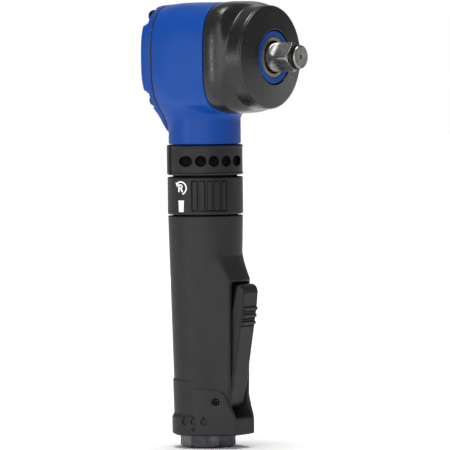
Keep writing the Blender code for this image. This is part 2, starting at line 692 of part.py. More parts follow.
def make_housing():
    stations = ((-15.5, 29.8, 28.5), (-12.0, 30.3, 29.8), (-4.0, 30.7, 31.0), (21.5, 30.8, 31.2))
    rings = [squircle(down, side, x) for x, down, side in stations]
    housing = loft("angle_housing", rings, HEAD, PAINT)
    neck = [(0, NECK_Z), (NECK_R, NECK_Z), (NECK_R, 183.5), (21.3, 187.5), (21.3, 205.0), (0, 205.0)]
    join(housing, turned("neck", neck, HANDLE, steps=36))
    cut(
        housing,
        block("neck_flat", (-40, -40, 173.8), (GASKET_X, 40, 215), HANDLE),
        rod("case_bore", (0, 0, 14.4), (0, 0, 30), 24.7, HEAD, segments=32),
        rod("gear_chamber", (0, 0, -30), (0, 0, 15), 19.0, HEAD, segments=28),
        rod("pinion_bore", (0, 0, 176), (0, 0, 205), 14.3, HANDLE, segments=28),
        rod("sleeve_bore", (0, 0, 160), (0, 0, 176.01), 14.5, HANDLE, segments=28),
    )
    for number, (x, y) in enumerate(COVER_SCREWS):
        cut(housing, rod(f"cover_thread_{number}", (x, y, -30), (x, y, -9.5), 2.3, HEAD, segments=10))
    for number, (x, y) in enumerate(CASE_SCREWS):
        cut(housing, rod(f"case_thread_{number}", (x, y, 14.5), (x, y, 30), 2.3, HEAD, segments=10))


def screw(name, head_r, head_high, shank_r, shank_long, key_across, steps=8):
    profile = [(0, head_high), (head_r * 0.75, head_high), (head_r, head_high * 0.55), (head_r, 0)]
    profile += [(shank_r, 0), (shank_r, -shank_long), (0, -shank_long)]
    made = turned(name, profile, HEAD, DARK_STEEL, steps)
    return cut(made, prism(name + "_key", polygon(6, key_across), head_high - 1.6, head_high + 2, HEAD))


def make_rear_cover():
    gasket = prism("rear_gasket", rear_outline(), -16.4, -15.8, HEAD, GASKET)
    cut(gasket, rod("gasket_window", (0, 0, -30), (0, 0, 0), 18.2, HEAD, segments=32))
    plate = prism("rear_cover", rear_outline(0.3), -21.0, -16.7, HEAD, PAINT)
    pad = [(x, y) for x, y, _ in squircle(27.4, 26.4, 0, count=48) if abs(x) < 18.5]
    pad.sort(key=lambda p: math.atan2(p[1], p[0]))
    join(plate, prism("cover_pad", pad, COVER_BACK, -19.0, HEAD))
    slope = block("tail_slope", (24.5, -40, -31), (70, 40, -21), HEAD)
    pivot = Vector((24.5, 0, -21.0)) * MM
    turn = Matrix.Rotation(math.radians(-10), 4, "Y")
    slope.data.transform(Matrix.Translation(pivot) @ turn @ Matrix.Translation(-pivot))
    cut(plate, slope, rod("rear_bearing_seat", (0, 0, -23.2), (0, 0, -10), 11.3, HEAD, segments=32))
    for number, (x, y) in enumerate(COVER_SCREWS):
        hole = rod(f"cover_screw_hole_{number}", (x, y, -30), (x, y, -10), 2.3, HEAD, segments=10)
        cut(gasket, hole)
        cut(plate, hole)
    original = screw("cover_screw_shape", 3.5, 3.0, 2.0, 10.5, 3.0)
    copies("cover_screw", COVER_SCREWS, original, HEAD, height=-21.3, flip=True)


def make_hammer_case():
    profile = [(24.4, 14.8), (24.4, 24.0), (25.7, 24.0), (25.7, 43.5), (24.5, 44.6)]
    profile += [(14.7, 45.4), (14.7, 48.3)]
    profile += [(11.5, 48.3), (11.5, 41.6), (22.9, 41.6), (22.9, 14.8)]
    case = turned("hammer_case", profile, HEAD, PAINT, steps=32)
    flange = prism("case_flange", [p[:2] for p in squircle(28.0, 28.3, 0)], GUARD_X, 27.0, HEAD)
    cut(flange, rod("flange_bore", (0, 0, 10), (0, 0, 40), 23.6, HEAD, segments=32))
    join(case, flange)
    for number, (x, y) in enumerate(CASE_SCREWS):
        cut(
            case,
            rod(f"case_screw_hole_{number}", (x, y, 10), (x, y, 40), 2.3, HEAD, segments=10),
            rod(f"case_counterbore_{number}", (x, y, 24.2), (x, y, 40), 3.9, HEAD, segments=14),
        )
    original = screw("case_screw_shape", 3.5, 2.3, 2.0, 9.5, 2.5)
    copies("case_screw", CASE_SCREWS, original, HEAD, height=24.5)
    profile = [(11.2, 41.9), (11.2, 48.0), (8.8, 48.0), (8.8, 41.9)]
    turned("nose_bushing", profile, HEAD, BRONZE, steps=24)

    stations = ((GUARD_X, 31.3, 31.8), (29.0, 31.0, 31.5))
    rings = [squircle(down, side, x) for x, down, side in stations]
    for x, r in ((35.0, 29.2), (43.8, 29.0), (45.9, 28.1), (NOSE_X, 26.0), (NOSE_X + 1.9, 15.9)):
        rings.append([(px, py, x) for px, py, _ in squircle(r, r, 0, power=2.0)])
    guard = loft("nose_guard", rings, HEAD, RUBBER)
    inside = [(0, 26.5), (26.0, 26.5), (26.0, 43.7), (24.7, 44.9), (15.1, 45.7), (15.1, 60), (0, 60)]
    cavity = prism("guard_flange_room", [p[:2] for p in squircle(28.35, 28.65, 0)], 10, 27.3, HEAD)
    cut(guard, turned("guard_room", inside, HEAD, steps=28), cavity)


make_handle()
make_inlet()
make_throttle()
make_rings()
make_motor()
make_gears()
make_impact()
make_housing()
make_rear_cover()
make_hammer_case()
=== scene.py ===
"""The looks of a right-angle air impact wrench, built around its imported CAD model.

Shapes are written in tool millimetres: X from the handle's axis towards the drive, Y across, Z up from the
inlet's face, and w is the height over the output axis. Each smooth casting or moulding is a distance field,
negative inside, that surface() turns into a mesh. Turned pieces are profiles revolved by lathe(). Both place
their meshes in the CAD model's frame, in metres.
"""

import json
import math

import bmesh
import bpy
import numpy as np
from mathutils import Matrix, Vector


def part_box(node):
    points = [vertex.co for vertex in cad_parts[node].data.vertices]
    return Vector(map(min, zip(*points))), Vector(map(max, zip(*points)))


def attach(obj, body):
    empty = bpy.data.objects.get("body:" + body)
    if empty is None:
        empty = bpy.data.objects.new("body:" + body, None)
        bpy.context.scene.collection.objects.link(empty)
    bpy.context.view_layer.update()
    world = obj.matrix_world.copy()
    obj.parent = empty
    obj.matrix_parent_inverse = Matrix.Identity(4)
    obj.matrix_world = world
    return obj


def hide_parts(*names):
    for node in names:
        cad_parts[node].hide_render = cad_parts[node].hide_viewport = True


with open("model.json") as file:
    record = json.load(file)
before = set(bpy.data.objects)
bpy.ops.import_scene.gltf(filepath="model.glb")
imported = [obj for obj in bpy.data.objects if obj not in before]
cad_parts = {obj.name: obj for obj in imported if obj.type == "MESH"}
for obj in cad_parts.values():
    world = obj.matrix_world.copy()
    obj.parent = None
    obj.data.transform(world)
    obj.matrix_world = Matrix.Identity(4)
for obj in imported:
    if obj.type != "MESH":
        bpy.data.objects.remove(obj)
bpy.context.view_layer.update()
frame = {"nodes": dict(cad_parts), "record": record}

MM = 0.001


def centre(node):
    """The middle of a node's box, in millimetres."""
    low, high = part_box(node)
    return (np.array(low) + np.array(high)) / 2 / MM


# Places taken from the frame
AXIS_X = centre("inlet_bushing")[0]
HEAD_Z = centre("anvil")[2]
DRIVE_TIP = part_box("anvil")[1][0] / MM - AXIS_X
COVER_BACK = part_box("rear_cover")[0][0] / MM - AXIS_X

# Head
JOINT_X = -15.5  # rear face of the angle housing
SHEET_FRONT_X, SHEET_BACK_X = -15.85, -16.35  # the gasket
PLATE_X, SEAT_X = -20.9, -19.5  # the cover's plate, and the pockets under its screws
SCREW_Y, SCREW_W = 16, 23.4
SCREW_HEAD_X = -21.3  # the underside of a cover screw's head
GUARD_X = 21.8
CROWN_X, CROWN_REACH = 26.8, 4.7  # the guard's skirt is fullest here, and curves away over this length
SHOULDER_X, SHOULDER_LENGTH = 31.2, 6.0
DRUM_X = 37
NOSE_X = 46.8
CASE_BOLT = 20.9
NECK_R, NECK_Z = 20.25, 169.5

# Handle
BASE_Z, BASE_TOP_Z, BASE_R = 7.3, 16.9, 20.0
CHEEK_TOP_Z, REAR_PAD_TOP_Z = 33.2, 37.6
SLOT_LOW_Z, SLOT_TOP_Z = 36, 92.7
WALL_HALF = 9.9  # half the width over the slot's walls
BROW_TOP_Z, GRIP_TOP_Z = 114, 129.5
RING_LOW_Z, RING_TOP_Z, RING_R = 130.3, 151.1, 21.1
COLLAR_LOW_Z, COLLAR_TOP_Z, COLLAR_R = 152.2, 169.1, 21.35
BORE_R = 18.45  # the rings' bore, over the motor

PIVOT_X, PIVOT_Z = 15.5, 26.0
LEVER_HALF = 7.3
RIB_HALF = 6.1
LEVER_LOW_X, LEVER_LOW_Z = 22.3, 33.8  # where the lever's front face starts
LEVER_LEAN = 0.170  # how far that face leans out for each millimetre up
SLOT_HALF, SLOT_FLOOR_X, FOOT_FLOOR_X = 7.8, 13.2, 10.6

HEX_HALF = 13.5
THREAD_PITCH = 1.34  # 19 threads to the inch
MARK_LIFT = 0.03  # how far the print stands off the ring

# Exhaust holes
EXHAUST_AZIMUTH, EXHAUST_Z = 50.5, 160.2
HOLE_PITCH, HOLE_R = 7.3, 2.95
FELT_LOW_Z, FELT_TOP_Z = 157.3, 165.2

# Drive
SQUARE_HALF, SQUARE_TURN = 6.35, 5.0  # half width, and turn about the output axis
SQUARE_END_X, DISC_X, LOBES_X = 62.3, 37.8, 20.8
RUNOUT_R = 6.0  # where the flats run out to the round journal


# ---------------------------------------------------------------- distance fields


def soft_min(a, b, radius):
    """The union of two fields with a fillet of about that radius."""
    reach = 1.2 * radius
    share = np.maximum(reach - np.abs(a - b), 0) / reach
    return np.minimum(a, b) - share * share * reach / 4


def soft_max(a, b, radius):
    """The intersection of two fields, rounded in the same way."""
    return -soft_min(-a, -b, radius)


def between(u, low, high):
    """Distance to a slab."""
    return np.maximum(low - u, u - high)


def squircle(u, v, half_u, half_v, power=3.5):
    """Distance to |u/a|^n + |v/b|^n = 1, close to exact near the curve."""
    su, sv = np.abs(u) / half_u + 1e-6, np.abs(v) / half_v + 1e-6
    level = (su**power + sv**power) ** (1 / power)
    slope = np.hypot(su ** (power - 1) / half_u, sv ** (power - 1) / half_v) / level ** (power - 1)
    return (level - 1) / slope


def rounded_box(u, v, half_u, half_v, radius):
    """Distance to a rectangle with rounded corners."""
    du, dv = np.abs(u) - half_u + radius, np.abs(v) - half_v + radius
    outside = np.hypot(np.maximum(du, 0), np.maximum(dv, 0))
    return outside + np.minimum(np.maximum(du, dv), 0) - radius


def tapered_capsule(u, v, end_u, end_v, radius_0, radius_1):
    """Distance to the hull of a circle at the origin and a second one elsewhere."""
    length2 = end_u**2 + end_v**2
    drop = radius_0 - radius_1
    a2 = length2 - drop**2
    along = u * end_u + v * end_v
    past = along - length2
    across = (u * length2 - end_u * along) ** 2 + (v * length2 - end_v * along) ** 2
    limit = np.sign(drop) * drop**2 * across
    near_end = np.sqrt(across + past**2 * length2) / length2 - radius_1
    near_start = np.sqrt(across + along**2 * length2) / length2 - radius_0
    side = (np.sqrt(across * a2 / length2) + along * drop) / length2 - radius_0
    result = np.where(np.sign(along) * a2 * along**2 * length2 < limit, near_start, side)
    return np.where(np.sign(past) * a2 * past**2 * length2 > limit, near_end, result)


def polygon_distance(u, v, corners):
    """Signed distance to a closed polygon."""
    best = np.full(u.shape, 1e9)
    inside = np.zeros(u.shape, bool)
    for (u0, v0), (u1, v1) in zip(corners, corners[1:] + corners[:1]):
        du, dv = u1 - u0, v1 - v0
        share = np.clip(((u - u0) * du + (v - v0) * dv) / (du * du + dv * dv), 0, 1)
        best = np.minimum(best, np.hypot(u - u0 - share * du, v - v0 - share * dv))
        if v0 != v1:
            inside ^= ((v0 > v) != (v1 > v)) & (u < u0 + (v - v0) / dv * du)
    return np.where(inside, -best, best)


# ---------------------------------------------------------------- meshing


def net(field, low, high, cell):
    """Points and quads over a field's zero level: one point for each grid cell that the surface crosses."""
    low, high = np.array(low, float), np.array(high, float)
    cells = np.ceil((high - low) / cell).astype(int)
    axes = [low[a] + cell * np.arange(cells[a] + 1) for a in range(3)]
    x, y, z = np.meshgrid(*axes, indexing="ij")
    value = field(x, y, z)
    inside = value < 0

    def at(values, corner):
        return values[tuple(slice(c, n + c) for c, n in zip(corner, cells))]

    corners = [(i, j, k) for i in (0, 1) for j in (0, 1) for k in (0, 1)]
    filled = sum(at(inside, corner).astype(np.int8) for corner in corners)
    crossed = (filled > 0) & (filled < 8)
    number = np.full(cells, -1)
    number[crossed] = np.arange(crossed.sum())
    place, hits = np.zeros((crossed.sum(), 3)), np.zeros(crossed.sum())
    for corner in corners:
        for axis in range(3):
            if corner[axis]:
                continue
            ahead = tuple(c + (a == axis) for a, c in enumerate(corner))
            first, second = at(value, corner)[crossed], at(value, ahead)[crossed]
            cut = (first < 0) != (second < 0)
            share = np.where(cut, first / np.where(cut, first - second, 1), 0)
            place += cut[:, None] * (np.array(corner) + np.eye(3)[axis] * share[:, None])
            hits += cut
    points = low + cell * (np.argwhere(crossed) + place / hits[:, None])

    quads = []
    for axis in range(3):
        u, v = (axis + 1) % 3, (axis + 2) % 3
        first = [slice(1, n) for n in cells]
        first[axis] = slice(0, cells[axis])
        second = list(first)
        second[axis] = slice(1, cells[axis] + 1)
        start, end = inside[tuple(first)], inside[tuple(second)]
        cut = start != end
        grid = np.argwhere(cut) + [s.start for s in first]
        steps = [(0, 0), (1, 0), (1, 1), (0, 1)]
        around = []
        for du, dv in steps:
            cell_at = grid.copy()
            cell_at[:, u] -= du
            cell_at[:, v] -= dv
            around.append(number[tuple(cell_at.T)])
        faces = np.stack(around, 1)
        outward = start[cut]
        faces[~outward] = faces[~outward][:, ::-1]
        quads.append(faces)
    return points, np.concatenate(quads)


def slope_of(field, points, step=0.02):
    """A field's gradient at each point."""
    columns = []
    for axis in range(3):
        shift = np.eye(3)[axis] * step
        columns.append((field(*(points + shift).T) - field(*(points - shift).T)) / (2 * step))
    return np.stack(columns, 1)


def surface(name, field, low, high, cell=0.5):
    """The mesh of a field, its points drawn onto the surface and its shading taken from the field's slope."""
    points, quads = net(field, low, high, cell)
    for _ in range(3):
        slope = slope_of(field, points)
        size = (slope**2).sum(1)
        move = field(*points.T)[:, None] * slope / np.maximum(size, 0.05)[:, None]
        length = np.linalg.norm(move, axis=1, keepdims=True)
        points = points - move * np.minimum(1, 0.4 * cell / np.maximum(length, 1e-9))
    normals = slope_of(field, points, cell / 4)
    normals /= np.maximum(np.linalg.norm(normals, axis=1, keepdims=True), 1e-9)
    mesh = bpy.data.meshes.new(name)
    mesh.from_pydata(((points + [AXIS_X, 0, 0]) * MM).tolist(), [], quads.tolist())
    mesh.shade_smooth()
    mesh.normals_split_custom_set_from_vertices(normals.tolist())
    made = bpy.data.objects.new(name, mesh)
    bpy.context.scene.collection.objects.link(made)
    return made


UPRIGHT = Matrix.Translation((AXIS_X * MM, 0, 0))
ALONG_X = Matrix.Translation((AXIS_X * MM, 0, HEAD_Z * MM)) @ Matrix.Rotation(math.radians(90), 4, "Y")


def object_from(name, shape, place=None):
    """An object from a bmesh in millimetres, placed in the row frame."""
    mesh = bpy.data.meshes.new(name)
    shape.to_mesh(mesh)
    shape.free()
    mesh.transform((place or UPRIGHT) @ Matrix.Scale(MM, 4))
    made = bpy.data.objects.new(name, mesh)
    bpy.context.scene.collection.objects.link(made)
    return made


def soften(made, width, angle=25):
    """Rounds the edges that turn by more than an angle."""
    edge = made.modifiers.new("edges", "BEVEL")
    edge.width = width * MM
    edge.segments = 2
    edge.limit_method = "ANGLE"
    edge.angle_limit = math.radians(angle)
    edge.harden_normals = True
    made.data.shade_smooth()
    return made


def turns(steps):
    """Angles in equal steps around a circle."""
    return [2 * math.pi * k / steps for k in range(steps)]


def circle(shape, radius, height, steps):
    """A level ring of vertices. The radius is a number or a function of the angle."""
    reach = radius if callable(radius) else lambda angle: radius
    return [shape.verts.new((reach(a) * math.cos(a), reach(a) * math.sin(a), height)) for a in turns(steps)]


def skin(shape, rings):
    """Quads between each ring of vertices and the next."""
    for low, high in zip(rings, rings[1:]):
        for k in range(len(low)):
            ahead = (k + 1) % len(low)
            shape.faces.new((low[k], low[ahead], high[ahead], high[k]))


def lathe(name, profile, place=None, steps=128, bevel=0.25):
    """A closed ring from points of radius and height, with its sharp edges rounded."""
    shape = bmesh.new()
    rings = [circle(shape, radius, height, steps) for radius, height in profile]
    skin(shape, rings + rings[:1])
    bmesh.ops.recalc_face_normals(shape, faces=shape.faces)
    return soften(object_from(name, shape, place), bevel)


# ---------------------------------------------------------------- materials


class Nodes:
    """A short way to write a material's nodes."""

    def __init__(self, name):
        self.material = bpy.data.materials.new(name)
        self.material.use_nodes = True
        self.tree = self.material.node_tree
        self.shader = self.tree.nodes["Principled BSDF"]
        self.place = self.add("ShaderNodeTexCoord").outputs["Object"]

    def add(self, kind, **values):
        node = self.tree.nodes.new(kind)
        for key, value in values.items():
            setattr(node, key, value)
        return node

    def link(self, source, target):
        self.tree.links.new(source, target)

    def noise(self, scale, detail=3.0, roughness=0.5, stretch=(1, 1, 1)):
        mapping = self.add("ShaderNodeMapping")
        mapping.inputs["Scale"].default_value = stretch
        self.link(self.place, mapping.inputs["Vector"])
        noise = self.add("ShaderNodeTexNoise")
        noise.inputs["Scale"].default_value = scale
        noise.inputs["Detail"].default_value = detail
        noise.inputs["Roughness"].default_value = roughness
        self.link(mapping.outputs["Vector"], noise.inputs["Vector"])
        return noise.outputs["Fac"]

    def ramp(self, value, *stops):
        ramp = self.add("ShaderNodeValToRGB")
        elements = ramp.color_ramp.elements
        while len(elements) < len(stops):
            elements.new(0.5)
        for element, (position, colour) in zip(elements, stops):
            element.position = position
            element.color = (*colour, 1) if isinstance(colour, tuple) else (colour,) * 3 + (1,)
        self.link(value, ramp.inputs["Fac"])
        return ramp.outputs["Color"]

    def bump(self, height, strength, distance):
        """Adds one layer of relief on top of those already there."""
        bump = self.add("ShaderNodeBump")
        bump.inputs["Strength"].default_value = strength
        bump.inputs["Distance"].default_value = distance * MM
        self.link(height, bump.inputs["Height"])
        normal = self.shader.inputs["Normal"]
        if normal.is_linked:
            self.link(normal.links[0].from_socket, bump.inputs["Normal"])
        self.link(bump.outputs["Normal"], normal)


def set_values(shader, **values):
    """Sets sockets by name, with _ for a space."""
    for key, value in values.items():
        shader.inputs[key.replace("_", " ")].default_value = value


def nylon(name, dark, light, roughness, grain, specular=0.2):
    """Glass-filled nylon with a fine spark-eroded grain."""
    nodes = Nodes(name)
    cloud = nodes.noise(90, 4, 0.6)
    nodes.link(nodes.ramp(cloud, (0.3, dark), (0.7, light)), nodes.shader.inputs["Base Color"])
    fine = nodes.noise(2600, 2, 0.6)
    nodes.bump(fine, grain, 0.05)
    nodes.bump(nodes.noise(700, 3, 0.6), grain * 0.5, 0.08)
    rough = nodes.ramp(fine, (0.3, roughness - 0.06), (0.7, roughness + 0.06))
    nodes.link(rough, nodes.shader.inputs["Roughness"])
    set_values(nodes.shader, Specular_IOR_Level=specular)
    return nodes.material


def rubber():
    """Moulded rubber, with uneven gloss that breaks up its highlights."""
    nodes = Nodes("black_rubber")
    cloud = nodes.noise(60, 5, 0.6)
    dark, light = (0.006, 0.006, 0.0062), (0.011, 0.011, 0.0115)
    nodes.link(nodes.ramp(cloud, (0.3, dark), (0.7, light)), nodes.shader.inputs["Base Color"])
    nodes.bump(nodes.noise(1500, 3, 0.65), 0.35, 0.06)
    nodes.bump(nodes.noise(220, 3, 0.5), 0.16, 0.15)
    rough = nodes.ramp(nodes.noise(420, 3, 0.6), (0.3, 0.23), (0.7, 0.37))
    nodes.link(rough, nodes.shader.inputs["Roughness"])
    set_values(nodes.shader, Specular_IOR_Level=0.42)
    return nodes.material


def blue_paint():
    """Satin enamel with a slight orange peel."""
    nodes = Nodes("blue_paint")
    cloud = nodes.noise(45, 4, 0.55)
    deep, bright = (0.0022, 0.046, 0.250), (0.0038, 0.054, 0.285)
    colour = nodes.ramp(cloud, (0.3, deep), (0.7, bright))
    nodes.link(colour, nodes.shader.inputs["Base Color"])
    nodes.bump(nodes.noise(380, 2, 0.5), 0.16, 0.12)
    nodes.bump(nodes.noise(1700, 2, 0.6), 0.20, 0.03)
    rough = nodes.ramp(nodes.noise(260, 3, 0.6), (0.3, 0.34), (0.7, 0.46))
    nodes.link(rough, nodes.shader.inputs["Roughness"])
    set_values(nodes.shader, Specular_IOR_Level=0.18)
    return nodes.material


def metal(name, dark, light, roughness, stretch, grain=0.25, scale=500):
    """Bare metal with grinding marks, which a stretched noise draws out along one way."""
    nodes = Nodes(name)
    streaks = nodes.noise(scale, 4, 0.65, stretch)
    stains = nodes.noise(160, 4, 0.6)
    mixed = nodes.add("ShaderNodeMix", data_type="FLOAT")
    mixed.inputs["Factor"].default_value = 0.55
    nodes.link(streaks, mixed.inputs["A"])
    nodes.link(stains, mixed.inputs["B"])
    shade = mixed.outputs["Result"]
    nodes.link(nodes.ramp(shade, (0.38, dark), (0.62, light)), nodes.shader.inputs["Base Color"])
    rough = nodes.ramp(shade, (0.35, roughness + 0.08), (0.65, roughness - 0.05))
    nodes.link(rough, nodes.shader.inputs["Roughness"])
    nodes.bump(streaks, grain, 0.04)
    set_values(nodes.shader, Metallic=1.0)
    return nodes.material


def white_print():
    """White ink, slightly uneven."""
    nodes = Nodes("white_print")
    speckle = nodes.noise(900, 3, 0.6)
    nodes.link(nodes.ramp(speckle, (0.3, 0.80), (0.6, 0.92)), nodes.shader.inputs["Base Color"])
    set_values(nodes.shader, Roughness=0.55)
    return nodes.material


GRIP_NYLON = nylon("grip_nylon", (0.018, 0.018, 0.0187), (0.024, 0.024, 0.0251), 0.48, 0.55)
RING_NYLON = nylon("ring_nylon", (0.014, 0.014, 0.0144), (0.019, 0.019, 0.0196), 0.46, 0.45)
LEVER_NYLON = nylon("lever_nylon", (0.011, 0.011, 0.0122), (0.016, 0.016, 0.0178), 0.38, 0.45)
RUBBER = rubber()
BLUE = blue_paint()
STEEL = metal("ground_steel", (0.13, 0.126, 0.12), (0.38, 0.368, 0.35), 0.31, (0.15, 1, 1))
INNER_STEEL = metal("machined_steel", (0.30, 0.30, 0.30), (0.48, 0.48, 0.47), 0.36, (1, 1, 0.2))
BLACK_STEEL = metal("blackened_steel", (0.018, 0.018, 0.02), (0.045, 0.045, 0.048), 0.42, (1, 1, 1), 0.3)
HEX_STEEL = metal("inlet_steel", (0.032, 0.032, 0.038), (0.070, 0.070, 0.081), 0.28, (1, 1, 0.15), 0.2)
BRONZE = metal("sintered_bronze", (0.20, 0.17, 0.13), (0.33, 0.29, 0.23), 0.45, (1, 1, 1), 0.3)
ALUMINIUM = metal("aluminium", (0.45, 0.45, 0.45), (0.62, 0.62, 0.62), 0.4, (1, 1, 0.2))
PAPER = nylon("gasket_paper", (0.035, 0.03, 0.026), (0.06, 0.052, 0.045), 0.8, 0.3)
# Near black and almost without gloss: painted shade for the exhaust holes, also laid on the motor sleeve.
PAINTED_SHADE_BLACK = nylon("painted_shade_black", (0.001, 0.001, 0.001), (0.008, 0.008, 0.008), 0.9, 1.0, specular=0.05)
WHITE = white_print()


def finish_piece(made, material, body, slot, *nodes):
    """Gives a piece its material, the body it moves with and the CAD nodes it stands for. Its slot is not
    used.
    """
    made.data.materials.clear()
    made.data.materials.append(material)
    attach(made, body)
    if nodes:
        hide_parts(*nodes)
    return made


# ---------------------------------------------------------------- head


def barrel(x, y, w):
    """The head's body, straight at the front and drawn in towards the cover."""
    taper = np.clip((-1 - x) / 14.5, 0, 1.4)
    power = 3.5 - 0.3 * np.clip(taper, 0, 1)
    return squircle(y, w, 31.15 - 2.7 * taper**2, 30.8 - 1.0 * taper**2, power)


def rear_outline(y, w):
    """The joint of the housing and its cover: the barrel's section with a tail that runs down the neck."""
    tail = rounded_box(y, w + 20, 12.7, 23.6, 8)
    return soft_min(squircle(y, w, 28.4, 29.8, 3.2), tail, 14)


def housing_field(x, y, z):
    """The barrel and the neck in one casting, cut off flat at the cover's joint."""
    w = z - HEAD_Z
    body = soft_max(barrel(x, y, w), x - (GUARD_X - 0.3), 0.4)
    radius = np.hypot(x, y)
    neck = soft_max(radius - NECK_R, between(z, NECK_Z, HEAD_Z), 0.5)
    fillet = 4.0 + 8.0 * np.clip((-2 - x) / 13.5, 0, 1)
    cast = soft_min(body, neck, fillet)
    flat = np.where(w > -43.9, JOINT_X - x, -9.0)
    cast = soft_max(cast, flat, 0.5)
    bore = np.hypot(y, w)
    chambers = np.minimum(np.maximum(bore - 24.7, 14.4 - x), np.maximum(bore - 19.0, x - 15))
    shaft = np.minimum(np.maximum(radius - 14.3, between(z, 176, 205)), np.maximum(radius - 14.5, z - 176.5))
    return soft_max(cast, -np.minimum(chambers, shaft), 0.3)


def cover_field(x, y, z):
    """A plate with a raised pad, and a pocket under each screw."""
    w = z - HEAD_Z
    outline = rear_outline(y, w) + 0.15
    slope = np.clip((-27.4 - w) / 16.1, 0, 1.2)
    plate = soft_max(outline, PLATE_X + 3.5 * slope - x, 0.6)
    pad_side = soft_max(squircle(y, w, 26.5, 27.0, 3.2), np.abs(w) - 18.4, 0.8)
    dome = (y / 26) ** 2 + (w / 40) ** 2
    pad = soft_max(pad_side, COVER_BACK + 0.05 + 1.1 * dome - x, 0.7)
    cast = soft_min(plate, pad, 0.4)
    cast = soft_max(cast, x + 16.45, 0.3)
    seat = np.maximum(np.hypot(y, w) - 11.4, -23.2 - x)
    for side_y in (-SCREW_Y, SCREW_Y):
        for side_w in (-SCREW_W, SCREW_W):
            from_screw = np.hypot(y - side_y, w - side_w)
            pocket = np.where(np.abs(y) > SCREW_Y, np.abs(w - side_w) - 4.1, from_screw - 4.1)
            spot_face = soft_max(np.maximum(pocket, -y * side_y), x - SEAT_X, 0.3)
            seat = np.minimum(np.minimum(seat, spot_face), from_screw - 2.35)
    return soft_max(cast, -seat, 0.2)


def guard_field(x, y, z):
    """A squarish skirt over the hammer case that passes through a shoulder into a round drum."""
    w = z - HEAD_Z
    radius = np.hypot(y, w)
    share = np.clip((x - SHOULDER_X) / SHOULDER_LENGTH, 0, 1)
    share = share * share * (3 - 2 * share)
    crown = 0.03 * np.clip(x - CROWN_X, -CROWN_REACH, CROWN_REACH) ** 2
    half = 31.75 - 1.94 * share - crown - 0.03 * np.maximum(x - DRUM_X, 0)
    side = squircle(y, w, half, half - 0.5 * (1 - share), 3.5 - 1.5 * share)
    outside = soft_max(side, x - NOSE_X - 0.187 * (26 - radius), 1.3)
    bead = np.hypot(x - NOSE_X + 2.0, radius - 29.5) - 0.85
    outside = soft_max(outside, -bead, 0.3)
    outside = soft_max(outside, GUARD_X + 0.1 - x, 0.8)
    room = soft_max(radius - 26.0, x - 43.6 + 0.4 * (radius - 20), 0.8)
    room = np.minimum(room, radius - 15.25)
    flange = np.maximum(squircle(y, w, 28.7, 28.4), x - 27.3)
    return soft_max(outside, -np.minimum(room, flange), 0.35)


def case_field(x, y, z):
    """A drum with a flange and a nose ring, bored out for the hammers."""
    w = z - HEAD_Z
    radius = np.hypot(y, w)
    drum = np.maximum(radius - np.where(x < 24, 24.4, 25.6), between(x, 14.8, 43.2))
    nose = soft_max(radius - 14.7, x - 48.3, 0.35)
    flange = np.maximum(squircle(y, w, 28.2, 27.9), between(x, 22.0, 27.0))
    outside = np.minimum(np.minimum(drum, np.maximum(nose, 40 - x)), flange)
    inside = np.minimum(np.maximum(radius - 22.9, x - 41.5), radius - 11.45)
    for side_y in (-1, 1):
        for side_w in (-1, 1):
            from_screw = np.hypot(y - side_y * CASE_BOLT, w - side_w * CASE_BOLT)
            hole = np.minimum(from_screw - 2.3, np.maximum(from_screw - 3.9, 24.2 - x))
            inside = np.minimum(inside, hole)
    return soft_max(outside, -inside, 0.25)


def anvil_field(x, y, z):
    """The square drive, its grooved end and journal, with a disc and two lobes behind for the hammers."""
    w = z - HEAD_Z
    radius = np.hypot(y, w)
    runout = np.clip(54.3 - x, 0, 5.5)
    flat_at = SQUARE_HALF + RUNOUT_R - np.sqrt(RUNOUT_R**2 - runout**2)
    square = radius - 8.25
    for quarter in range(4):
        angle = math.radians(SQUARE_TURN + 45 + 90 * quarter)
        square = soft_max(square, math.sin(angle) * y - math.cos(angle) * w - flat_at, 0.35)
    chamfer = (radius - 8.05 + 1.2 * (x - 61.4)) / 1.56
    square = soft_max(soft_max(square, chamfer, 0.15), x - SQUARE_END_X, 0.2)
    neck = np.maximum(radius - 5.0, x - 66)
    tip = soft_max(radius - 6.5, (radius - 6.1 + 0.8 * (x - DRIVE_TIP)) / 1.28, 0.2)
    tip = soft_max(soft_max(tip, x - DRIVE_TIP, 0.15), 65.35 - x, 0.15)
    outer = np.minimum(np.minimum(square, neck), tip)
    dimple = radius - 1.5 + 0.28 * np.maximum(DRIVE_TIP - x, 0)
    outer = soft_max(outer, -np.maximum(dimple, SQUARE_END_X - x), 0.1)
    disc = np.maximum(radius - 11.5, between(x, DISC_X, 41.2))
    core = np.maximum(radius - 7.0, between(x, LOBES_X, 45))
    outer = np.minimum(np.maximum(np.minimum(outer, core), LOBES_X - x), disc)
    for number in (0, 1):
        angle = math.radians(SQUARE_TURN + 180 * number)
        along = math.sin(angle) * y - math.cos(angle) * w
        across = math.cos(angle) * y + math.sin(angle) * w
        span = between(x, LOBES_X + 8.6 * number, 28.4 + 8.5 * number)
        lobe = np.maximum(np.maximum(between(along, 0, 10.8), np.abs(across) - 4), span)
        outer = np.minimum(outer, lobe)
    cage_clearance = np.where(x < DISC_X, radius - np.where(x < LOBES_X, 0, 11.8), -9)
    return np.maximum(outer, cage_clearance)


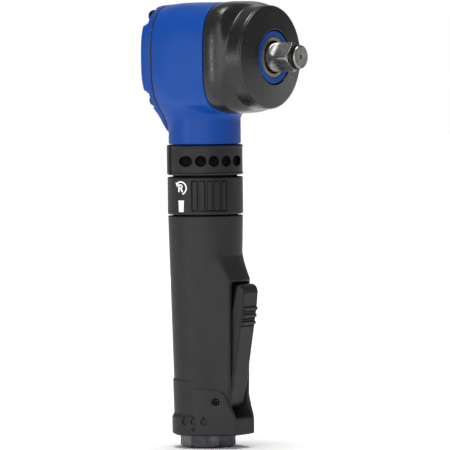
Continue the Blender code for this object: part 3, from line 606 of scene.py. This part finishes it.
def hex_head(name, place_at, radius, height, key_across):
    """A socket screw with its shank, in its own frame: Z outwards, 0 under the head."""
    steps = 48

    def hexagon(angle):
        return key_across / 2 / math.cos((angle + math.pi / 6) % (math.pi / 3) - math.pi / 6)

    shape = bmesh.new()
    head = [(radius, 0.0), (radius, height * 0.55), (radius * 0.8, height), (key_across * 0.62, height)]
    rings = [circle(shape, r, h, steps) for r, h in head]
    rings += [circle(shape, hexagon, h, steps) for h in (height - 0.2, height - 1.7)]
    skin(shape, rings)
    shape.faces.new(rings[-1])
    shank = circle(shape, 2, 0, steps)
    end = circle(shape, 2, -10.4, steps)
    skin(shape, [end, shank, rings[0]])
    shape.faces.new(end[::-1])
    bmesh.ops.recalc_face_normals(shape, faces=shape.faces)
    return soften(object_from(name, shape, place_at), 0.15, 30)


def gasket_field(x, y, z):
    """The paper gasket, which stands out a little past the joint."""
    w = z - HEAD_Z
    sheet = np.maximum(rear_outline(y, w) - 0.1, between(x, SHEET_BACK_X, SHEET_FRONT_X))
    return np.maximum(sheet, 18.2 - np.hypot(y, w))


def make_head():
    top = HEAD_Z + 32
    housing = surface("angle_casting", housing_field, (-17, -33, NECK_Z - 1), (23, 33, top), 0.5)
    finish_piece(housing, BLUE, "housing", "blue_paint", "angle_housing")
    cover = surface("cover_casting", cover_field, (-27, -31, HEAD_Z - 46), (-15, 31, HEAD_Z + 31), 0.45)
    finish_piece(cover, BLUE, "housing", "blue_paint", "rear_cover")
    sheet = surface("gasket_sheet", gasket_field, (-17, -31, HEAD_Z - 46), (-15, 31, HEAD_Z + 31), 0.3)
    finish_piece(sheet, PAPER, "housing", "gasket_paper", "rear_gasket")
    guard = surface("guard_boot", guard_field, (21, -33, HEAD_Z - 33), (51, 33, top + 1), 0.45)
    finish_piece(guard, RUBBER, "housing", "black_rubber", "nose_guard")
    case = surface("case_casting", case_field, (14, -30, HEAD_Z - 30), (49, 30, HEAD_Z + 30), 0.5)
    finish_piece(case, BLUE, "housing", "blue_paint", "hammer_case")
    bush = lathe("nose_bush", [(11.25, 41.9), (11.25, 48.15), (9.15, 48.15), (9.15, 41.9)], ALONG_X)
    finish_piece(bush, BRONZE, "housing", "bronze", "nose_bushing")
    anvil = surface("square_drive", anvil_field, (20, -12.5, HEAD_Z - 12.5), (68, 12.5, HEAD_Z + 12.5), 0.3)
    finish_piece(anvil, STEEL, "drive", "steel", "anvil")
    number = 0
    for w in (-SCREW_W, SCREW_W):
        for y in (SCREW_Y, -SCREW_Y):
            number += 1
            down = Matrix.Translation(((AXIS_X + SCREW_HEAD_X) * MM, y * MM, (HEAD_Z + w) * MM))
            turn = Matrix.Rotation(math.radians(-90), 4, "Y")
            head = hex_head(f"cover_bolt_{number}", down @ turn, 3.5, 3.0, 3.0)
            finish_piece(head, BLACK_STEEL, "housing", "dark_steel", f"cover_screw_{number}")


# ---------------------------------------------------------------- handle


def grip_outline(x, y, radius, front_x, half_width, corner):
    """The hull of the grip's circle and a flat nose with rounded corners."""
    y = np.abs(y)
    corner_x, corner_y = front_x - corner, half_width - corner
    sides = tapered_capsule(x, y, corner_x, corner_y, radius, corner)
    nose = np.maximum(x - front_x, y - corner_y)
    inner = np.maximum(nose, -x)
    return np.minimum(sides, inner)


def blend(z, *stops):
    """A value that changes evenly from each height to the next. A stop is a height and a value."""
    result = np.full(z.shape, float(stops[0][1]))
    for (z0, v0), (z1, v1) in zip(stops, stops[1:]):
        share = np.clip((z - z0) / (z1 - z0), 0, 1)
        result += (v1 - v0) * share
    return result


def flared(x, y, radius, edge_x, edge_y):
    """The round grip with flat sides, which leave it as tangents and pass through a point on each side."""
    y = np.abs(y)
    reach = np.minimum(radius / np.hypot(edge_x, edge_y), 1)
    facing = np.arctan2(edge_y, edge_x) + np.arccos(reach)
    side = x * np.cos(facing) + y * np.sin(facing) - radius
    ahead = x * np.sin(facing) - y * np.cos(facing)
    return np.where(ahead > 0, side, np.hypot(x, y) - radius)


def grip_body(x, y, z, radius):
    """The tapered grip, the walls of the lever's slot and the brow over it."""
    round_grip = soft_max(np.hypot(x, y) - radius, between(z, BASE_Z, GRIP_TOP_Z), 0.6)
    wall_x = blend(z, (29, 21.9), (SLOT_TOP_Z, 23.3))
    walls = soft_max(flared(x, y, radius, wall_x, WALL_HALF), x - wall_x, 0.8)
    walls = np.maximum(walls, z - SLOT_TOP_Z - 1.5)

    front = [(94.2, 23.3), (97, 21.7), (101, 19.5), (104, 18.25), (107, 17.35), (110, 16.85)]
    brow_x = blend(z, *front, (BROW_TOP_Z, 16.5))
    brow_y = blend(z, (94.2, WALL_HALF), (96.9, 10.2), (101.2, 11.1), (107, 11.6))
    brow = flared(x, y, radius, brow_x, brow_y)
    brow = soft_max(brow, x - brow_x - 0.0223 * (brow_y**2 - y * y), 0.8)
    brow = soft_max(brow, between(z, SLOT_TOP_Z, BROW_TOP_Z), 0.5)
    return np.minimum(np.minimum(round_grip, walls), brow)


def grip_base(x, y, z, radius):
    """The foot and its flare, the cheeks beside the lever's hinge, and the pad behind."""
    foot = soft_max(grip_outline(x, y, BASE_R, 25.4, 8.7, 1.0), z - BASE_TOP_Z, 0.6)
    flare = np.maximum(np.hypot(x, y) - BASE_R + np.clip(z - BASE_TOP_Z, 0, 9) * 0.55, z - 22)

    spread = np.clip((25 - z) / 8, 0, 1)
    cheek = flared(x, y, 19.9 + 0.2 * spread * spread, 24.0, WALL_HALF)
    slope = [(16, 25.6), (18.5, 24.9), (22, 23.0), (27, 21.2), (30, 20.1), (32, 18.0), (CHEEK_TOP_Z, 14.0)]
    cheek = soft_max(cheek, x - blend(z, *slope), 0.4)
    fade = np.clip((x - 1) / 9, 0, 1)
    top = CHEEK_TOP_Z - 0.012 * np.maximum(x - 8, 0) ** 2
    cheek = soft_max(cheek + 1.2 * (1 - fade), z - top, 0.35)

    fade = np.clip((6 - x) / 5, 0, 1)
    rear_pad = soft_max(np.hypot(x, y) - radius + 0.25 - 0.85 * fade, z - REAR_PAD_TOP_Z + 0.03 * x, 0.3)
    base = np.minimum(np.minimum(foot, flare), np.minimum(cheek, rear_pad))
    return soft_max(base, BASE_Z - z, 0.9)


def lever_slot(x, y, z, floor_x, low_z, top_z):
    """A channel in front of a floor."""
    return soft_max(soft_max(np.abs(y) - SLOT_HALF, floor_x - x, 1.0), between(z, low_z, top_z), 0.8)


def grip_hollows(x, y, z):
    """What is cut out of the grip: the lever's slot, the pin's hole, the notch and the bores."""
    slot = lever_slot(x, y, z, SLOT_FLOOR_X, SLOT_LOW_Z, SLOT_TOP_Z)
    foot_slot = lever_slot(x, y, z, FOOT_FLOOR_X, BASE_TOP_Z - 0.3, 38.5)
    pin = np.hypot(x - PIVOT_X, z - PIVOT_Z) - 2.0
    notch = np.maximum(between(z, 97.4, 99.2), np.hypot(x + 15.3, y + 13.2) - 2.2)
    motor = np.maximum(np.hypot(x, y) - 18.4, 95.2 - z)
    inlet = np.maximum(np.hypot(x, y) - 9.5, z - 24.5)
    throttle = np.maximum(np.hypot(y, z - 58) - 6.5, between(x, -10, 20))
    return np.minimum.reduce([slot, foot_slot, pin, notch, motor, inlet, throttle])


def grip_field(x, y, z):
    """The whole grip, from the foot to the joint with the selector ring."""
    radius = blend(z, (20, 18.25), (GRIP_TOP_Z, 20.95))
    body = soft_min(grip_body(x, y, z, radius), grip_base(x, y, z, radius), 0.6)
    body = soft_max(body, -grip_hollows(x, y, z), 0.45)
    return soft_max(body, -oil_marks(x, y, z), 0.1)


def oil_marks(x, y, z):
    """A sunk pictogram for daily oiling: three drops over an arrow to the inlet."""
    along, across = turned_about(x, y, 12)
    marks = np.full(x.shape, 9.0)
    for at in (-6, 0, 6):
        u, v = across - at, z - 14.6
        point = np.maximum(np.abs(u) * 0.87 + v * 0.5 - 1.7, -v)
        marks = np.minimum(marks, np.minimum(point, np.hypot(u, v) - 1.7))
    arrow = np.maximum(np.abs(across) - (z - 9.2) * 0.75, z - 11.2)
    marks = np.minimum(marks, arrow)
    return np.maximum(np.maximum(marks, 19.0 - np.hypot(x, y)), -along)


def lever_side():
    """X and Z around the lever's side."""
    foot = []
    for angle in range(-150, 1, 15):
        turn = math.radians(angle)
        foot.append((PIVOT_X + 0.2 + 4.9 * math.cos(turn), PIVOT_Z + 0.4 + 4.9 * math.sin(turn)))
    outer = [(LEVER_LOW_X, LEVER_LOW_Z), (30.0, 79.0), (30.85, 86.6)]
    top = [(30.6, 88.4), (29.8, 90.0), (28.5, 91.1), (27.2, 91.5), (25.6, 90.9), (24.9, 88.2)]
    inner = [(21.8, 76.0), (17.5, 60.5), (17.5, 55.5), (16.2, 45.0), (14.6, 35.0), (12.0, 30.0)]
    return foot + outer + top + inner


def lever_field(x, y, z):
    """The lever, with three finger ribs on its face and its back hollowed out."""
    side = polygon_distance(x, z, lever_side())
    face_x = LEVER_LOW_X + (z - LEVER_LOW_Z) * LEVER_LEAN
    body = soft_max(side, np.abs(y) - LEVER_HALF, 1.3)
    for rib_z in (77.9, 73.9, 69.9):
        along = (z - rib_z) * 0.986 + (x - face_x) * 0.168
        rib = soft_max(np.abs(along) - 0.95, np.abs(x - face_x) - 1.4, 0.4)
        rib = soft_max(rib, np.abs(y) - RIB_HALF, 0.7)
        shadow_line = soft_max(np.abs(along + 1.45) - 0.5, np.abs(x - face_x) - 0.55, 0.2)
        body = soft_max(body, -soft_max(shadow_line, np.abs(y) - RIB_HALF, 0.5), 0.15)
        body = soft_min(body, rib, 0.2)
    hollow = soft_max(np.abs(y) - 5.4, x - face_x + 2.6, 0.8)
    hollow = soft_max(hollow, between(z, 64, 88), 0.8)
    body = soft_max(body, -hollow, 0.3)
    return soft_max(body, 1.85 - np.hypot(x - PIVOT_X, z - PIVOT_Z), 0.2)


def turned_about(x, y, azimuth):
    """Coordinates along and across a level direction given by its angle from -Y towards +X, in degrees."""
    turn = math.radians(azimuth)
    along = math.sin(turn) * x - math.cos(turn) * y
    across = math.cos(turn) * x + math.sin(turn) * y
    return along, across


def collar_field(x, y, z):
    """The turning collar, with five holes in a shallow recess that ends in a groove on each side."""
    radius = np.hypot(x, y)
    body = soft_max(radius - COLLAR_R, between(z, COLLAR_LOW_Z, COLLAR_TOP_Z), 1.0)
    along, across = turned_about(x, y, EXHAUST_AZIMUTH)
    arc = np.abs(np.arctan2(across, along)) * radius
    recess = soft_max(between(z, 153.6, 167.6), 20.8 - radius, 0.3)
    recess = soft_max(recess, arc - 31.2, 0.3)
    groove = np.maximum(np.abs(arc - 29.0) - 0.5, 20.2 - radius)
    body = soft_max(body, -np.minimum(recess, np.maximum(groove, between(z, 153.0, 170))), 0.3)
    nearest = np.clip(np.round(across / HOLE_PITCH), -2, 2) * HOLE_PITCH
    holes = np.maximum(np.hypot(across - nearest, z - EXHAUST_Z) - HOLE_R, -along)
    body = soft_max(body, -holes, 0.35)
    inside = np.minimum(radius - BORE_R, np.maximum(radius - 19.4, between(z, 157, 165.5)))
    return soft_max(body, -inside, 0.3)


BAR_AZIMUTHS = (19.7, 31.5, 43.1, 54.6, 66.2)


def selector_field(x, y, z):
    """The reversing ring, with a sunk panel of upright bars."""
    radius = np.hypot(x, y)
    body = soft_max(radius - RING_R, between(z, RING_LOW_Z, RING_TOP_Z), 0.7)
    azimuth = np.degrees(np.arctan2(x, -y))
    arc = radius * math.radians(1)
    middle = (BAR_AZIMUTHS[0] + BAR_AZIMUTHS[-1]) / 2
    height = between(z, 132.3, 149.4)
    pad = soft_max(np.maximum(height, 19.9 - radius), np.abs(azimuth - middle) * arc - 10.3, 0.4)
    body = soft_max(body, -pad, 0.2)
    for at in BAR_AZIMUTHS:
        bar = soft_max(np.abs(azimuth - at) * arc - 1.3, between(z, 132.9, 148.9), 0.25)
        bar = soft_max(bar, np.maximum(radius - RING_R - 0.12, 19.5 - radius), 0.25)
        body = soft_min(body, bar, 0.15)
    return soft_max(body, BORE_R - radius, 0.3)


def inlet_field(x, y, z):
    """A chamfered hexagon over a spigot, bored and threaded from below."""
    reach = np.full(x.shape, -1e9)
    for k in range(6):
        angle = math.pi / 3 * k
        reach = soft_max(reach, x * math.cos(angle) + y * math.sin(angle) - HEX_HALF, 0.3)
    radius = np.hypot(x, y)
    head = soft_max(reach, (radius - 14.2 - 1.2 * z) / 1.56, 0.25)
    head = soft_max(head, between(z, 0, BASE_Z - 0.25), 0.35)
    spigot = np.maximum(radius - 9.2, between(z, 3, 22))
    turn = np.mod(z / THREAD_PITCH + np.arctan2(y, x) / (2 * math.pi), 1)
    thread = radius - 6.15 - 0.35 * np.abs(2 * turn - 1)
    mouth = (radius - 7.4 + z) / 1.41
    bore = np.where(z < 12, np.minimum(thread, mouth), radius - 7.9)
    return soft_max(np.minimum(head, spigot), -bore, 0.1)


def make_handle():
    grip = surface("grip_moulding", grip_field, (-22, -22, 6.5), (27, 22, 131), 0.5)
    finish_piece(grip, GRIP_NYLON, "housing", "black_nylon", "handle_housing")
    lever = surface("lever_moulding", lever_field, (9, -8.5, 20), (32, 8.5, 93), 0.35)
    finish_piece(lever, LEVER_NYLON, "lever", "black_nylon", "throttle_lever")
    collar = surface("exhaust_moulding", collar_field, (-22.5, -22.5, 151), (22.5, 22.5, 170), 0.4)
    finish_piece(collar, RING_NYLON, "exhaust", "black_nylon", "exhaust_collar")
    selector = surface("selector_moulding", selector_field, (-22.5, -22.5, 129), (22.5, 22.5, 152), 0.4)
    finish_piece(selector, RING_NYLON, "selector", "black_nylon", "selector_ring")
    inlet = surface("inlet_hexagon", inlet_field, (-17, -17, -1), (17, 17, 23), 0.35)
    finish_piece(inlet, HEX_STEEL, "housing", "dark_steel", "inlet_bushing")


def make_silencer():
    """The felt ring behind the exhaust holes, fluted on the outside. Its near-black colour is painted shade
    that makes the holes read dark.
    """
    shape = bmesh.new()
    steps, rows = 240, 14
    row_height = (FELT_TOP_Z - FELT_LOW_Z) / rows

    def fluted(row):
        return lambda angle: 18.95 + 0.12 * math.sin(40 * angle + row * 2.6)

    rings = [circle(shape, fluted(row), FELT_LOW_Z + row_height * row, steps) for row in range(rows + 1)]
    rings += [circle(shape, 18.3, height, steps) for height in (FELT_TOP_Z, FELT_LOW_Z)]
    skin(shape, rings + rings[:1])
    bmesh.ops.recalc_face_normals(shape, faces=shape.faces)
    felt = object_from("exhaust_silencer", shape)
    felt.data.shade_smooth()
    finish_piece(felt, PAINTED_SHADE_BLACK, "housing", "black_rubber")


def make_pin():
    """The rolled spring pin that the lever turns on."""
    at_pivot = Matrix.Translation(((AXIS_X + PIVOT_X) * MM, 0, PIVOT_Z * MM))
    across = at_pivot @ Matrix.Rotation(math.radians(90), 4, "X")
    pin = lathe("rolled_pin", [(1.5, -13.4), (1.5, 13.4), (0.75, 13.4), (0.75, -13.4)], across, 48, 0.2)
    finish_piece(pin, BLACK_STEEL, "housing", "steel", "lever_pin")


# ---------------------------------------------------------------- printed marks


def ribbon(shape, path, widths):
    """A flat stroke of varying width on the selector ring. Path points are arc length and height."""
    path = np.array(path, float)
    ahead = np.gradient(path, axis=0)
    ahead /= np.linalg.norm(ahead, axis=1, keepdims=True)
    across = np.stack([-ahead[:, 1], ahead[:, 0]], 1) * np.array(widths, float)[:, None] / 2
    reach = RING_R + MARK_LIFT
    rows = []
    for share in np.linspace(-1, 1, 5):
        row = []
        for arc, z in path + across * share:
            turn = arc / RING_R
            row.append(shape.verts.new((reach * math.sin(turn), -reach * math.cos(turn), z)))
        rows.append(row)
    for low, high in zip(rows, rows[1:]):
        for k in range(len(low) - 1):
            shape.faces.new((low[k], low[k + 1], high[k + 1], high[k]))


def straight(start, end, steps=10):
    """Points along a straight stroke."""
    return np.linspace(start, end, steps)


def make_marks():
    """A generic reverse mark, a letter in a turning arrow, over an index bar."""
    arc_length = RING_R * math.radians(1)
    middle = np.array([-4.3 * arc_length, 145.3])
    shape = bmesh.new()
    sweep = np.radians(np.linspace(122, -72, 40))
    ring = middle + 3.45 * np.stack([np.cos(sweep) * 1.1, np.sin(sweep)], 1)
    ribbon(shape, ring, np.full(40, 0.8))
    ribbon(shape, straight(middle + [-2.6, 3.0], middle + [-2.7, 0.5]), np.linspace(3.0, 0.1, 10))
    letter = middle + [-0.1, -0.1]
    ribbon(shape, straight(letter + [-1.2, -2.1], letter + [-1.2, 2.1]), np.full(10, 1.0))
    bowl = np.radians(np.linspace(90, -90, 16))
    bow = letter + np.array([0.2, 0.9]) + 0.82 * np.stack([np.cos(bowl) * 1.25, np.sin(bowl)], 1)
    bow = np.concatenate([[letter + [-1.2, 1.72]], bow, [letter + [-1.2, 0.08]]])
    ribbon(shape, bow, np.full(len(bow), 0.75))
    ribbon(shape, straight(letter + [0.1, 0.2], letter + [1.35, -2.1]), np.full(10, 1.05))
    bar = np.array([-3.7 * arc_length, 0])
    ribbon(shape, straight(bar + [0, 131.95], bar + [0, 138.4]), np.linspace(3.3, 4.0, 10))
    for face in shape.faces:
        face.normal_update()
        if face.normal.xy.dot(face.calc_center_median().xy) < 0:
            face.normal_flip()
    marks = object_from("selector_marks", shape)
    finish_piece(marks, WHITE, "selector", "black_nylon")


# ---------------------------------------------------------------- pieces kept from the frame


def dress_frame():
    """Materials for the CAD nodes that stay as they are."""
    looks = {
        "steel": INNER_STEEL,
        "dark_steel": BLACK_STEEL,
        "bronze": BRONZE,
        "aluminium": ALUMINIUM,
        "black_nylon": RING_NYLON,
        "black_rubber": RUBBER,
        "blue_paint": BLUE,
        "gasket_paper": PAPER,
    }
    for part in frame["record"]["subparts"]:
        node = frame["nodes"][part["node"]]
        node.data.materials.clear()
        # The motor sleeve gets the near-black look: painted shade behind the rings.
        look = PAINTED_SHADE_BLACK if part["node"] == "motor_sleeve" else looks[part["material_slot"]]
        node.data.materials.append(look)


# ---------------------------------------------------------------- studio

ROOM_LIGHT = 0.22  # what the white room adds to the lamps
PHOTO_AZIMUTH, PHOTO_TILT, PHOTO_ROLL = 36.0, 2.4, 0.65
PHOTO_DISTANCE, PHOTO_LENS = 2800.0, 400.0
AIM_ACROSS, AIM_Z = 10.8, 123.8  # where the view is centred, from the handle's axis


def direction(azimuth, elevation):
    """A unit vector by its angle from -Y towards +X and its angle above the floor, in degrees."""
    turn, tilt = math.radians(azimuth), math.radians(elevation)
    return Vector((math.sin(turn) * math.cos(tilt), -math.cos(turn) * math.cos(tilt), math.sin(tilt)))


def make_camera():
    back = direction(PHOTO_AZIMUTH, PHOTO_TILT)
    across = direction(PHOTO_AZIMUTH + 90, 0)
    target = Vector((AXIS_X, 0, AIM_Z)) + across * AIM_ACROSS
    data = bpy.data.cameras.new("camera")
    data.lens = PHOTO_LENS
    data.sensor_width = 36
    data.clip_end = 100
    camera = bpy.data.objects.new("camera", data)
    bpy.context.scene.collection.objects.link(camera)
    camera.location = (target + back * PHOTO_DISTANCE) * MM
    level = (-back).to_track_quat("-Z", "Y").to_matrix().to_4x4()
    roll = Matrix.Rotation(math.radians(-PHOTO_ROLL), 4, "Z")
    camera.matrix_world = Matrix.Translation(camera.location) @ level @ roll
    bpy.context.scene.camera = camera


def make_floor():
    shape = bmesh.new()
    bmesh.ops.create_grid(shape, x_segments=4, y_segments=4, size=6000)
    floor = object_from("studio_floor", shape, Matrix.Translation((0, 0, -0.0004)))
    nodes = Nodes("studio_white")
    set_values(nodes.shader, Roughness=0.9, Specular_IOR_Level=0.1)
    nodes.link(nodes.ramp(nodes.noise(3, 2), (0.2, 0.94), (0.8, 0.96)), nodes.shader.inputs["Base Color"])
    floor.data.materials.append(nodes.material)


def make_room():
    """A white backdrop that lights the object less than it shows behind it."""
    world = bpy.data.worlds.new("studio")
    world.use_nodes = True
    tree = world.node_tree
    background = tree.nodes["Background"]
    background.inputs["Color"].default_value = (1, 1, 1, 1)
    seen = tree.nodes.new("ShaderNodeLightPath").outputs["Is Camera Ray"]
    strength = tree.nodes.new("ShaderNodeMapRange")
    strength.inputs["To Min"].default_value = ROOM_LIGHT
    strength.inputs["To Max"].default_value = 1.0
    tree.links.new(seen, strength.inputs["Value"])
    tree.links.new(strength.outputs["Result"], background.inputs["Strength"])
    bpy.context.scene.world = world


def softbox(name, azimuth, elevation, distance, width, height, power):
    """A rectangular lamp aimed at the middle of the tool. Distances are in metres."""
    data = bpy.data.lights.new(name, "AREA")
    data.shape = "RECTANGLE"
    data.size, data.size_y = width, height
    data.energy = power
    light = bpy.data.objects.new(name, data)
    bpy.context.scene.collection.objects.link(light)
    back = direction(azimuth, elevation)
    light.location = back * distance + Vector((0, 0, 0.13))
    light.rotation_mode = "QUATERNION"
    light.rotation_quaternion = (-back).to_track_quat("-Z", "Y")


def make_lamps():
    sun = bpy.data.lights.new("sky_panel", "SUN")
    sun.energy, sun.angle = 3.1, math.radians(32)
    bpy.context.scene.collection.objects.link(bpy.data.objects.new("sky_panel", sun))
    softbox("front_box", PHOTO_AZIMUTH - 16, 14, 1.7, 1.6, 1.5, 17)
    softbox("side_strip", PHOTO_AZIMUTH - 60, 4, 1.6, 0.16, 0.45, 3.4)
    softbox("back_box", PHOTO_AZIMUTH + 180, 12, 1.8, 1.4, 1.4, 3)
    bpy.context.scene.view_settings.view_transform = "Standard"


dress_frame()
make_head()
make_handle()
make_silencer()
make_pin()
make_marks()
make_camera()
make_floor()
make_room()
make_lamps()
